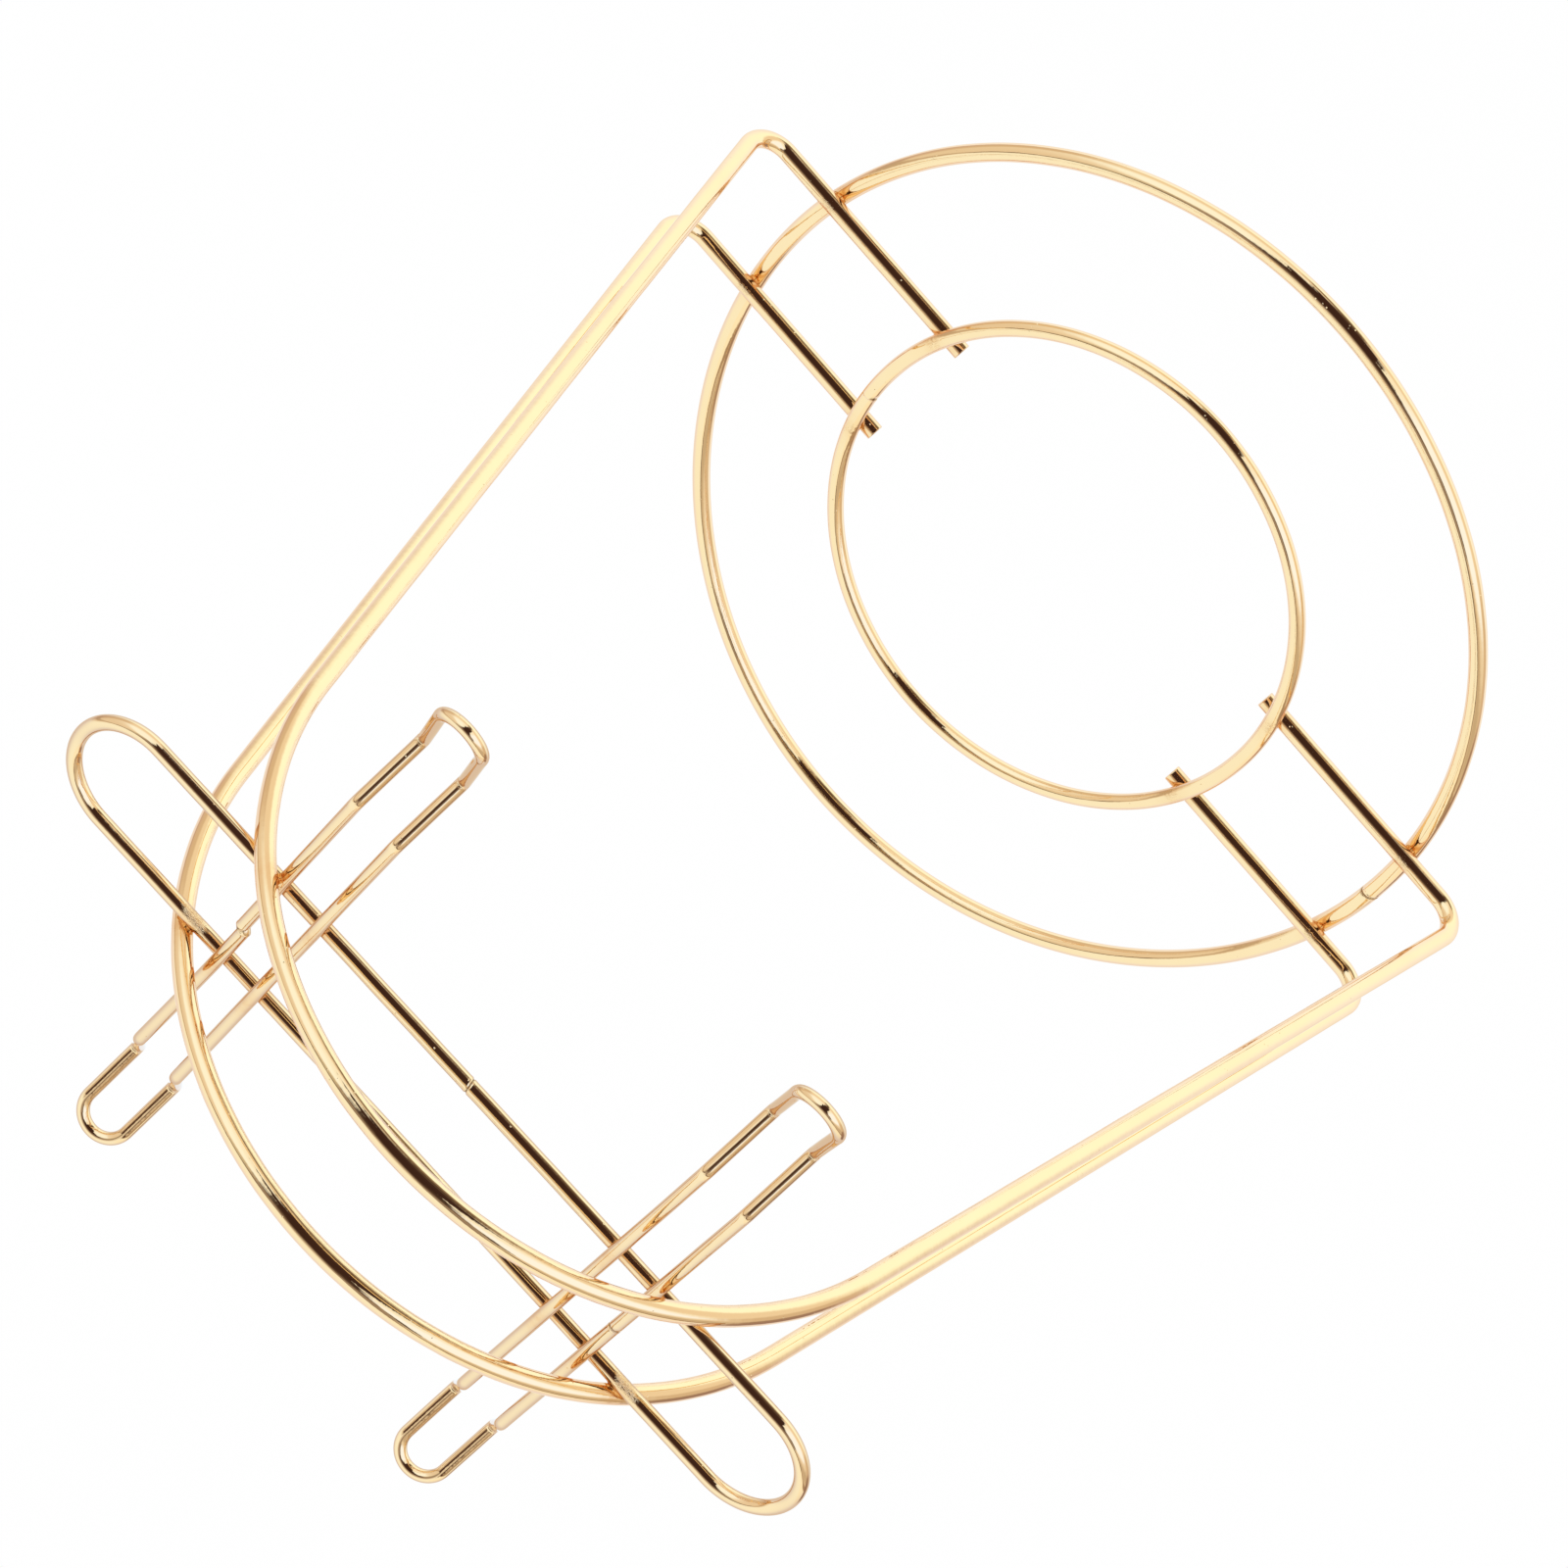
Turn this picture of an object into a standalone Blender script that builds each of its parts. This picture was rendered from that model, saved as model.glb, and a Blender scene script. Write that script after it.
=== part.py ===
"""Gold-plated wire rack that holds a stack of saucers and six hanging cups.

Seven formed wires, resistance-welded where they cross:
  base_ring     round foot ring, the only wire that touches the table
  front_hoop    spoke, bend, leg, arch, leg, bend, spoke: one wire, 4 mm
  rear_hoop     the same wire again, behind the first
  saucer_ring   smaller ring on top of the spokes, under the saucers
  cup_bar       long flat loop held between the two arches, a cup hook at each end
  left_hook     narrow loop lying across the cup bar, a cup hook front and rear
  right_hook    the same loop on the other side

The frame is metres, +Z up, +X to the right, +Y to the rear.  The origin is the
middle of the footprint, on the table.
"""

import math

import bpy
from mathutils import Vector

MM = 0.001

# Wire gauges, mm
HOOP_WIRE = 4.0
BASE_RING_WIRE = 4.0
SAUCER_RING_WIRE = 3.6
CUP_BAR_WIRE = 3.0
HOOK_WIRE = 2.6
WELD_GAP = 0.15  # left between two wires at a crossing

# Hoops, mm and degrees.  Heights are above the centreline of the spokes.
HOOP_SPACING = 31.8  # front arch to rear arch
FOOT_WIDTH = 220.2  # between the two foot corners
FOOT_BEND = 6.5  # centreline radius of the foot corners
SPOKE_TIP = 47.6  # from the middle to a spoke's cut end
LEG_LEAN = 10.87  # inwards from the vertical
LEG_TOP = 198.6  # height at which the straight leg turns into the arch
SHOULDER_RADIUS = 79.7
SHOULDER_SWEEP = 23.27

# The arches stand slightly turned and off centre on their feet
CAGE_TWIST = 2.18  # about +Z, at the height of the cup bar
CAGE_SHIFT = (1.03, -0.49)
FOOT_SHIFT = -0.4  # of the hoops' feet, to the right
FRONT_ARCH_FORWARD = 0.3  # lean of the front arch, at the height of the cup bar
FRONT_ARCH_DROP = 0.15

# Rings, mm: centreline radius, and place relative to the middle of the rack
BASE_RING_RADIUS = 93.0
BASE_RING_CENTRE = (-2.3, 4.2)
BASE_RING_OVAL = 1.45  # the hand-closed ring is longer one way than the other
BASE_RING_OVAL_AT = 107.0
BASE_RING_LOBE = 0.76  # and flatter beside its butt weld
BASE_RING_LOBE_AT = 90.0
SAUCER_RING_RADIUS = 54.4
SAUCER_RING_CENTRE = (-0.2, -0.8)

# Cup bar, mm
CUP_BAR_HEIGHT = 233.3
CUP_BAR_LENGTH = 182.5  # between the centrelines of its two round ends
CUP_BAR_WIDTH = 24.5  # between the centrelines of its two long sides
CUP_BAR_OFFSET = 1.0
CUP_BAR_TILT = 1.2  # front side up

# Hooks, mm: half of the side view from the middle of the loop outwards
HOOK_SPACING = 85.6
HOOK_OFFSET = 0.5
HOOK_FORWARD = {"left_hook": 2.1, "right_hook": 0.7}
HOOK_WIDTH = 9.9
HOOK_FLAT = 43.1  # end of the level stretch
HOOK_VEE = 56.2  # bottom of the vee that holds the cup's handle
HOOK_VEE_DROP = 9.3
HOOK_LIP = 73.6  # end of the upturned lip
HOOK_LIP_RISE = 8.1
HOOK_KNEE_RADIUS = 3.0
HOOK_VEE_RADIUS = 2.4

# Tessellation
SECTION_EXTRA = 4  # a wire's section has 4 + 2 * SECTION_EXTRA sides
SECTION_SIDES = 4 + 2 * SECTION_EXTRA
RING_STEPS = 72
ARC_STEP = 6.0  # degrees of bend between two sections

GOLD = (0.93, 0.69, 0.36, 1.0)
GOLD_ROUGHNESS = 0.12


def clear_scene():
    for item in list(bpy.data.objects):
        bpy.data.objects.remove(item, do_unlink=True)


def gold_material(name):
    """Polished gold-coloured plating."""
    material = bpy.data.materials.new(name)
    material.use_nodes = True
    material.diffuse_color = GOLD
    shader = material.node_tree.nodes["Principled BSDF"]
    shader.inputs["Base Color"].default_value = GOLD
    shader.inputs["Metallic"].default_value = 1.0
    shader.inputs["Roughness"].default_value = GOLD_ROUGHNESS
    return material


def arc(centre, radius, start, sweep):
    """2-D points along an arc, in degrees, with both ends."""
    steps = max(1, math.ceil(abs(sweep) / ARC_STEP))
    points = []
    for index in range(steps + 1):
        angle = math.radians(start + sweep * index / steps)
        points.append((centre[0] + radius * math.cos(angle), centre[1] + radius * math.sin(angle)))
    return points


def bend(before, corner, after, radius):
    """Points of a round bend that replaces a corner of a 3-D path."""
    toward_before = (before - corner).normalized()
    toward_after = (after - corner).normalized()
    opening = toward_before.angle(toward_after)
    turn = math.pi - opening
    middle = (toward_before + toward_after).normalized()
    centre = corner + middle * (radius / math.sin(opening / 2))
    across = (toward_after - toward_before).normalized()
    steps = max(2, math.ceil(math.degrees(turn) / (2 * ARC_STEP)))
    points = []
    for index in range(steps + 1):
        angle = turn * (index / steps - 0.5)
        points.append(centre - middle * radius * math.cos(angle) + across * radius * math.sin(angle))
    return points


def bent_path(corners, radii):
    """A path through its first and last corners that rounds every corner between."""
    path = [corners[0]]
    for index in range(1, len(corners) - 1):
        path += bend(corners[index - 1], corners[index], corners[index + 1], radii[index - 1])
    return path + [corners[-1]]


def wire(name, path, gauge, closed, flats_up):
    """A round wire along a path in mm, as a bevelled curve."""
    curve = bpy.data.curves.new(name, "CURVE")
    curve.dimensions = "3D"
    curve.bevel_depth = gauge / 2 * MM
    curve.bevel_resolution = SECTION_EXTRA
    curve.use_fill_caps = not closed
    curve.twist_mode = "Z_UP" if flats_up else "MINIMUM"
    spline = curve.splines.new("POLY")
    spline.points.add(len(path) - 1)
    spline.use_cyclic_u = closed
    for point, place in zip(spline.points, path):
        point.co = (*(Vector(place) * MM), 1.0)
        point.tilt = math.pi / SECTION_SIDES if flats_up else 0.0
    curve.materials.append(gold_material(name + "_gold"))
    item = bpy.data.objects.new(name, curve)
    bpy.context.scene.collection.objects.link(item)
    return item


def twisted(point, forward, drop):
    """Turn and shift a point of a hoop in proportion to its height."""
    share = point.z / CUP_BAR_HEIGHT
    angle = math.radians(CAGE_TWIST) * share
    x = point.x * math.cos(angle) - point.y * math.sin(angle)
    y = point.x * math.sin(angle) + point.y * math.cos(angle)
    shift = CAGE_SHIFT[0] * share + FOOT_SHIFT * (1.0 - share)
    return Vector((x + shift, y + (CAGE_SHIFT[1] - forward) * share, point.z - drop * share))


def arch_outline():
    """Right half of the arch, from the top of the leg to the crown, as (x, z)."""
    foot = FOOT_WIDTH / 2
    lean = math.radians(LEG_LEAN)
    leg_x = foot - LEG_TOP * math.tan(lean)
    shoulder = (leg_x - SHOULDER_RADIUS * math.cos(lean), LEG_TOP - SHOULDER_RADIUS * math.sin(lean))
    rise = arc(shoulder, SHOULDER_RADIUS, LEG_LEAN, SHOULDER_SWEEP)
    crown_start = LEG_LEAN + SHOULDER_SWEEP
    end_x, end_z = rise[-1]
    crown_radius = end_x / math.cos(math.radians(crown_start))
    crown_z = end_z - crown_radius * math.sin(math.radians(crown_start))
    return rise + arc((0.0, crown_z), crown_radius, crown_start, 90.0 - crown_start)[1:]


def hoop(name, y, forward=0.0, drop=0.0):
    """One hoop: spoke, foot bend, leg and arch, mirrored about the crown."""
    half = arch_outline()
    foot = Vector((FOOT_WIDTH / 2, y, 0.0))
    leg_top = Vector((half[0][0], y, half[0][1]))
    right = bent_path([Vector((SPOKE_TIP, y, 0.0)), foot, leg_top], [FOOT_BEND])
    right += [Vector((x, y, z)) for x, z in half[1:]]
    left = [Vector((-point.x, point.y, point.z)) for point in reversed(right[:-1])]
    path = [twisted(point, forward, drop) for point in right + left]
    return wire(name, path, HOOP_WIRE, False, False)


def base_ring():
    """The foot ring, with the slight ovality of a hand-closed ring."""
    path = []
    for index in range(RING_STEPS):
        turn = 360.0 * index / RING_STEPS
        oval = BASE_RING_OVAL * math.cos(math.radians(2 * (turn - BASE_RING_OVAL_AT)))
        lobe = BASE_RING_LOBE * math.cos(math.radians(3 * (turn - BASE_RING_LOBE_AT)))
        radius = BASE_RING_RADIUS + oval + lobe
        x = BASE_RING_CENTRE[0] + radius * math.cos(math.radians(turn))
        y = BASE_RING_CENTRE[1] + radius * math.sin(math.radians(turn))
        path.append((x, y, 0.0))
    ring = wire("base_ring", path, BASE_RING_WIRE, True, True)
    ring.location.z = -(HOOP_WIRE / 2 + BASE_RING_WIRE / 2 + WELD_GAP) * MM
    return ring


def saucer_ring():
    """The ring on top of the spokes."""
    path = []
    for index in range(RING_STEPS):
        turn = 2 * math.pi * index / RING_STEPS
        x = SAUCER_RING_CENTRE[0] + SAUCER_RING_RADIUS * math.cos(turn)
        y = SAUCER_RING_CENTRE[1] + SAUCER_RING_RADIUS * math.sin(turn)
        path.append((x, y, 0.0))
    ring = wire("saucer_ring", path, SAUCER_RING_WIRE, True, True)
    ring.location.z = (HOOP_WIRE / 2 + SAUCER_RING_WIRE / 2 + WELD_GAP) * MM
    return ring


def cup_bar():
    """A long flat loop with two round ends."""
    radius = CUP_BAR_WIDTH / 2
    reach = CUP_BAR_LENGTH / 2 - radius
    right_end = arc((reach, 0.0), radius, -90.0, 180.0)
    left_end = arc((-reach, 0.0), radius, 90.0, 180.0)
    path = [(x, y, 0.0) for x, y in right_end + left_end]
    return wire("cup_bar", path, CUP_BAR_WIRE, True, True)


def hook(name):
    """A closed hairpin: level, down into a vee, up to a round lip, front and rear."""
    half = HOOK_WIDTH / 2
    lip_run = HOOK_LIP - HOOK_VEE
    lip_way = Vector((0.0, lip_run, HOOK_LIP_RISE)).normalized()
    side = [
        Vector((half, 0.0, 0.0)),
        Vector((half, HOOK_FLAT, 0.0)),
        Vector((half, HOOK_VEE, -HOOK_VEE_DROP)),
        Vector((half, HOOK_LIP, HOOK_LIP_RISE - HOOK_VEE_DROP)) - lip_way * half,
    ]
    right = bent_path(side, [HOOK_KNEE_RADIUS, HOOK_VEE_RADIUS])[1:]
    lip_start = Vector((0.0, right[-1].y, right[-1].z))
    lip = []
    for across, along in arc((0.0, 0.0), half, 0.0, 180.0)[1:-1]:
        lip.append(lip_start + Vector((across, 0.0, 0.0)) + lip_way * along)
    left = [Vector((-point.x, point.y, point.z)) for point in reversed(right)]
    front = right + lip + left
    rear = [Vector((-point.x, -point.y, point.z)) for point in front]
    return wire(name, front + rear, HOOK_WIRE, True, False)


def build():
    clear_scene()
    rack = bpy.data.objects.new("rack", None)
    cage = bpy.data.objects.new("cage", None)
    for empty in (rack, cage):
        bpy.context.scene.collection.objects.link(empty)

    # The cup bar and the hooks are set at the height of the cup bar
    cage.parent = rack
    cage.location = (CAGE_SHIFT[0] * MM, CAGE_SHIFT[1] * MM, CUP_BAR_HEIGHT * MM)
    cage.rotation_euler = (-math.radians(CUP_BAR_TILT), 0.0, math.radians(CAGE_TWIST))

    hoop("front_hoop", -HOOP_SPACING / 2, FRONT_ARCH_FORWARD, FRONT_ARCH_DROP).parent = rack
    hoop("rear_hoop", HOOP_SPACING / 2).parent = rack
    base_ring().parent = rack
    saucer_ring().parent = rack

    bar = cup_bar()
    bar.parent = cage
    bar.location.x = CUP_BAR_OFFSET * MM
    for name, side in (("left_hook", -1), ("right_hook", 1)):
        piece = hook(name)
        piece.parent = cage
        piece.location.x = (side * HOOK_SPACING / 2 + HOOK_OFFSET) * MM
        piece.location.y = -HOOK_FORWARD[name] * MM
        piece.location.z = (CUP_BAR_WIRE / 2 + HOOK_WIRE / 2 + WELD_GAP) * MM

    # Stand the rack on the table, with the middle of its footprint at the origin
    facet = math.cos(math.pi / SECTION_SIDES)
    foot = HOOP_WIRE / 2 + WELD_GAP + BASE_RING_WIRE / 2 * (1.0 + facet)
    middle = BASE_RING_CENTRE[1] + BASE_RING_LOBE
    rack.location = (0.0, -middle * MM, foot * MM)


build()
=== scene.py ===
"""Looks of the gold wire cup and saucer rack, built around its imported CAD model.

Every wire of the CAD is drawn again as a smooth tube along the same centreline, with the
butt seams, weld fillets, electrode marks, scuffs and sheared ends of the real thing.
Lengths are millimetres until a mesh is made; the scene itself is in metres, +Z up,
front towards -Y, as the CAD.
"""

import math
from collections import namedtuple

import bpy
import numpy as np
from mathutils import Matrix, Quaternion, Vector

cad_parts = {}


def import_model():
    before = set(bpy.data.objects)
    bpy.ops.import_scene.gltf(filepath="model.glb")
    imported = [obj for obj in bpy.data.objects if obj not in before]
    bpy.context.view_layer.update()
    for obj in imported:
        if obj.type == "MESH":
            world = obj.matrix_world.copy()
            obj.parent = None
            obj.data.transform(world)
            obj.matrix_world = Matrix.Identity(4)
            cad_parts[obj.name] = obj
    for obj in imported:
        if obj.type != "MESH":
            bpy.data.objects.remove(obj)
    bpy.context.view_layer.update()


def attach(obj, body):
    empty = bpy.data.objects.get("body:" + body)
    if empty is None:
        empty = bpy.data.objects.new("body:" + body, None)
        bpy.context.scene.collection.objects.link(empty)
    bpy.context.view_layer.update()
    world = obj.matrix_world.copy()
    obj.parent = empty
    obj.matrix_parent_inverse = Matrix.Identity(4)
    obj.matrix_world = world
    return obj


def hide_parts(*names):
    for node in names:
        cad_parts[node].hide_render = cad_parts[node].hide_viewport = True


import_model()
MM = 0.001

# ---------------------------------------------------------------- dimensions, as in the CAD
HOOP_WIRE, BASE_RING_WIRE, SAUCER_RING_WIRE, CUP_BAR_WIRE, HOOK_WIRE = 4.0, 4.0, 3.6, 3.0, 2.6
WELD_GAP = 0.15
CAD_SIDES = 12
FACET = math.cos(math.pi / CAD_SIDES)
ROUND = (1.0 + FACET) / 2  # a round wire of this share has the girth of the CAD's

HOOP_SPACING = 31.8
FOOT_WIDTH = 220.2
FOOT_BEND = 6.5
SPOKE_TIP = 47.6
LEG_LEAN = 10.87
LEG_TOP = 198.6
SHOULDER_RADIUS = 79.7
SHOULDER_SWEEP = 23.27

CAGE_TWIST = 2.18
CAGE_SHIFT = (1.03, -0.49)
FOOT_SHIFT = -0.4
FRONT_ARCH_FORWARD, FRONT_ARCH_DROP = 0.3, 0.15

BASE_RING_RADIUS = 93.0
BASE_RING_CENTRE = (-2.3, 4.2)
BASE_RING_OVAL, BASE_RING_OVAL_AT = 1.45, 107.0
BASE_RING_LOBE, BASE_RING_LOBE_AT = 0.76, 90.0
SAUCER_RING_RADIUS = 54.4
SAUCER_RING_CENTRE = (-0.2, -0.8)

CUP_BAR_HEIGHT = 233.3
CUP_BAR_LENGTH = 182.5
CUP_BAR_WIDTH = 24.5
CUP_BAR_OFFSET = 1.0
CUP_BAR_TILT = 1.2

HOOK_SPACING = 85.6
HOOK_OFFSET = 0.5
HOOK_SIDE = {"left_hook": -1, "right_hook": 1}
HOOK_FORWARD = {"left_hook": 2.1, "right_hook": 0.7}
HOOK_WIDTH = 9.9
HOOK_FLAT = 43.1
HOOK_VEE, HOOK_VEE_DROP = 56.2, 9.3
HOOK_LIP, HOOK_LIP_RISE = 73.6, 8.1
HOOK_KNEE_RADIUS, HOOK_VEE_RADIUS = 3.0, 2.4

SPOKE_Z = HOOP_WIRE / 2 + WELD_GAP + BASE_RING_WIRE / 2 * (1.0 + FACET)
RACK_AT = np.array([0.0, -(BASE_RING_CENTRE[1] + BASE_RING_LOBE), SPOKE_Z])

# ---------------------------------------------------------------- how finely wires are drawn
SIDES = 24
STEP = 0.8  # along a wire
BEND_STEP = STEP * 0.4  # in a tight bend
FINE_STEP = 0.12  # beside a seam or a mark
MARK_MARGIN, END_MARGIN, BEND_MARGIN = 0.8, 0.6, 1.2  # how far the closer steps carry on
TIGHT_TURN = 4.0  # degrees between two points of a path that is bending tightly
RING_POINTS = 541
HOOP_POINT_STEP, HOOK_POINT_STEP = 1.5, 0.5
SEARCH_STEP = 0.25  # when the point of a wire nearest to a place is looked for
SEED = 41

# ---------------------------------------------------------------- where wires are joined
BASE_SEAM_AT = 182.9  # degrees round from the right
SAUCER_SEAM_AT = 8.0
CUP_BAR_SEAM_X = -0.3
# Side wire (-1 left, 1 right), how far to the rear, sideways step of the wire beyond the seam
HOOK_SEAMS = {"left_hook": (-1, 1.4, 0.0), "right_hook": (1, 0.9, -0.8)}
HOOK_STEP_HOLD = 8.0  # the sideways step fades out from here on
BASE_SEAM_SLANT, SEAM_SLANT = 0.95, 0.3
SEAM_TURN = 0.8  # radians round the wire, where a slanting seam is furthest on
SEAM_DEPTH, SEAM_REACH, SEAM_SOOT_REACH = 0.20, 0.17, 0.15
LIP_HEIGHT, LIP_AT, LIP_REACH = 0.03, 0.5, 0.25  # raised on either side of a seam

# Lower wire first
WELDED = (
    ("base_ring", "front_hoop"), ("base_ring", "rear_hoop"),
    ("front_hoop", "saucer_ring"), ("rear_hoop", "saucer_ring"),
    ("front_hoop", "cup_bar"), ("rear_hoop", "cup_bar"),
    ("cup_bar", "left_hook"), ("cup_bar", "right_hook"),
    ("front_hoop", "left_hook"), ("front_hoop", "right_hook"),
    ("rear_hoop", "left_hook"), ("rear_hoop", "right_hook"),
)
SEARCH_SLACK, WELD_SLACK = 0.7, 0.45  # between the surfaces of two wires that touch
SEARCH_REACHES = (0.7, 0.2, 0.05)  # ever closer
SEARCH_PROBES = 15
WELD_CLEARING = 6.0  # there is no second crossing this near

# A weld fillet
FILLET_SIDES, FILLET_RUNGS = 40, 9  # points round it, and up its neck
FILLET_GAP = 0.85  # it fills the crevice up to this width
FILLET_NECK = 0.42  # drawn in by this share of its height
FILLET_SWELL = 0.04
FILLET_LIMIT, FILLET_PROBES = 3.2, 161  # its edge is looked for as far out as this
FILLET_CORE, FILLET_SINK = 0.55, 0.45  # its ends close inside the wires
FILLET_TUCK, FILLET_TUCK_SINK = 0.05, 0.12
FILLET_WAVES, FILLET_RAGGED = (2, 3, 5, 8), (0.03, 0.11)  # waves round its edge, and their height
FILLET_PHASE = 6.28  # radians
WARM_REACH = 3.4  # a weld colours the plating this far

# ---------------------------------------------------------------- marks on the wires
WIRE_WAVES = ((37.0, 0.012), (17.0, 0.008), (9.0, 0.005))  # length and height of the wire's own waviness
PRESS_SIZE = {"foot_welds": 1.7, "bar_welds": 2.4}  # where the welding electrodes bore
PRESS_DEPTH, PRESS_SCUFF = 0.05, 0.035
SCUFF_WAVES, SCUFF_SCALE = 14, 5.0
SCUFF_ALONG, SCUFF_AROUND = (2.0, 7.5), (2, 9)  # how fine its waves are, along and round the wire
WEAR_FADE = (0.35, 1.1)  # a worn patch fades out sideways
JIG_SCUFF_SIZE, JIG_SCUFF_AWAY = 2.6, 1.0  # beside the upper welds
NICKS = ((-0.35, 0.09), (0.4, 0.06))  # in a vee: along the wire, and depth
# The last of these is how dark the painted shade in a nick is
NICK_REACH, NICK_MARK, NICK_SHADE = 0.17, 0.6, 0.9
# A mark fades in between these cosines of the angle from its own side of the wire
SEAM_FACING, PRESS_FACING = (0.55, 0.85), (0.45, 0.95)
# The second pair is for the painted shade in a nick
NICK_FACING, NICK_SHADE_FACING = (0.70, 0.95), (0.80, 0.97)
# Sheared spoke tips: how far out along the wire, and share of its radius
SHEAR_RIM = ((0.10, 0.985), (0.19, 0.93), (0.23, 0.84), (0.20, 0.45))
SHEAR_DEPTH = 0.23

# ---------------------------------------------------------------- finishes
# tone, tone beside welds, roughness, Specular Tint, tint of what is seen edge on (painted edge shade)
GOLDS = {
    "hoop_gold": ((0.94, 0.69, 0.37), (0.80, 0.38, 0.11), 0.02, (0.96, 0.84, 0.66), (0.91, 0.85, 1.12)),
    "fine_gold": ((0.94, 0.69, 0.38), (0.80, 0.36, 0.10), 0.02, (0.90, 0.74, 0.55), (0.72, 0.66, 0.84)),
    "weld_gold": ((0.88, 0.46, 0.13), (0.76, 0.25, 0.04), 0.10, (0.8, 0.6, 0.4), (0.8, 0.7, 0.7)),
}
# Colour of the soot in the butt seams and of the painted shade in the nicks
SOOT_AND_SHADE = (0.20, 0.10, 0.035, 1.0)

# ---------------------------------------------------------------- studio, metres and degrees
BACKDROP = (1.0, 1.0, 1.0)
FLOOR_TONE = (1.0, 1.0, 1.0)
FLOOR_GRAIN = 0.995
FLOOR_Z, FLOOR_REACH = -0.00004, 6.0
SIDE_WALL = (0.86, 0.83, 0.82)
ANY = 300.0
# What the wires mirror, each patch painted over those before it: azimuth from, to, softness,
# elevation from, to, softness, colour.  Azimuth 0 is the front and +90 the right; the room is
# the same on both sides, its furniture is not.
ROOM = (
    (116.0, ANY, 5.0, -ANY, ANY, 1.0, (1.04, 1.20, 1.38)),  # white cloth behind
    (-ANY, 66.0, 24.0, -8.0, 57.0, 6.0, (1.05, 1.18, 1.36)),  # glow round the lights
    (58.0, 116.0, 8.0, -ANY, -2.0, 7.0, (0.73, 0.65, 0.59)),  # floor at the sides
    (-ANY, 60.0, 10.0, -ANY, -5.0, 7.0, (0.93, 0.90, 0.88)),  # and in front
    (-ANY, 122.0, 8.0, -ANY, -34.0, 7.0, (1.15, 1.40, 1.56)),  # floor under the rack
    (-ANY, 116.0, 6.0, 61.0, ANY, 4.0, (0.36, 0.31, 0.30)),  # dark ceiling
    (-ANY, 46.0, 8.0, 57.0, 80.0, 4.0, (0.14, 0.10, 0.09)),  # darkest over the lights
    (-ANY, 100.0, 8.0, 82.0, ANY, 4.0, (0.46, 0.42, 0.42)),  # paler straight above
    (112.0, ANY, 8.0, 77.0, ANY, 4.0, (0.86, 0.88, 0.92)),  # the cloth overhead
    (112.0, ANY, 8.0, 85.0, ANY, 3.0, (0.62, 0.60, 0.62)),
)
FURNITURE = (
    (-134.0, -111.0, 2.0, -4.0, 60.0, 6.0, (1.06, 1.16, 1.22)),  # the cloth's left edge
    (-103.0, -84.0, 6.0, 0.0, 62.0, 6.0, (0.62, 0.57, 0.52)),  # grey wall beside it
    (-70.0, -22.0, 7.0, 2.0, 55.0, 6.0, (1.08, 1.34, 1.98)),  # left light
    (24.0, 62.0, 8.0, 7.0, 57.0, 7.0, (1.07, 1.30, 1.66)),  # right light
    (56.0, 108.0, 8.0, 59.0, 67.0, 4.0, (0.64, 0.64, 0.60)),  # grey top of the right wall
    (-74.0, -46.0, 3.0, 54.0, 61.0, 2.0, (0.11, 0.09, 0.10)),  # dark top edge of the left light
    # The dark gap between the lights, widest above and paler below
    (-27.0, 30.0, 4.0, 50.0, 64.0, 3.0, (0.06, 0.04, 0.035)),
    (-19.0, 22.0, 2.5, 41.0, 70.0, 3.0, (0.06, 0.035, 0.03)),
    (-12.0, 17.0, 1.0, 15.0, 68.0, 6.0, (0.05, 0.026, 0.024)),
    (-11.0, 9.5, 1.8, -4.0, 22.0, 6.0, (0.05, 0.024, 0.022)),
    (-6.0, 4.5, 3.5, -22.0, 6.0, 5.0, (0.10, 0.07, 0.06)),
    (-4.0, 11.0, 4.0, -34.0, -16.0, 5.0, (0.26, 0.20, 0.15)),
    # Grey columns at both edges of the cloth, their dark tops, and their shade on the floor
    (-111.0, -104.0, 1.5, -22.0, 62.0, 6.0, (0.44, 0.35, 0.29)),
    (104.0, 111.0, 1.5, -20.0, 50.0, 6.0, (0.60, 0.53, 0.48)),
    (-110.0, -103.0, 1.5, 47.0, 77.0, 3.0, (0.10, 0.06, 0.05)),
    (103.0, 110.0, 1.5, 47.0, 77.0, 3.0, (0.09, 0.05, 0.04)),
    (-128.0, -92.0, 5.0, -24.0, -2.0, 4.0, (0.40, 0.31, 0.28)),
)

CAMERA_AIM = (0.00449, 0.02509, 0.08373)
CAMERA_AZIMUTH = 0.71
CAMERA_ELEVATION = 46.88
CAMERA_ROLL = -131.7
CAMERA_DISTANCE = 1.0
CAMERA_LENS, CAMERA_SENSOR = 113.64, 36.0
CAMERA_CLIP = (0.05, 50.0)


# ================================================================= centrelines
def arc2(centre, radius, start, sweep, pitch=2.0):
    """Points of a 2-D arc, degrees, both ends included."""
    steps = max(2, math.ceil(abs(sweep) / pitch))
    angle = np.radians(start + sweep * np.linspace(0.0, 1.0, steps + 1))
    return np.stack([centre[0] + radius * np.cos(angle), centre[1] + radius * np.sin(angle)], 1)


def unit(v):
    return v / np.linalg.norm(v)


def bend(before, corner, after, radius, pitch=6.0):
    """Points of the round bend that replaces a corner."""
    one, two = unit(before - corner), unit(after - corner)
    opening = math.acos(float(one @ two))
    turn = math.pi - opening
    middle, across = unit(one + two), unit(two - one)
    centre = corner + middle * (radius / math.sin(opening / 2))
    steps = max(3, math.ceil(math.degrees(turn) / pitch))
    angle = (turn * (np.linspace(0.0, 1.0, steps + 1) - 0.5))[:, None]
    return centre - middle * radius * np.cos(angle) + across * radius * np.sin(angle)


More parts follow.
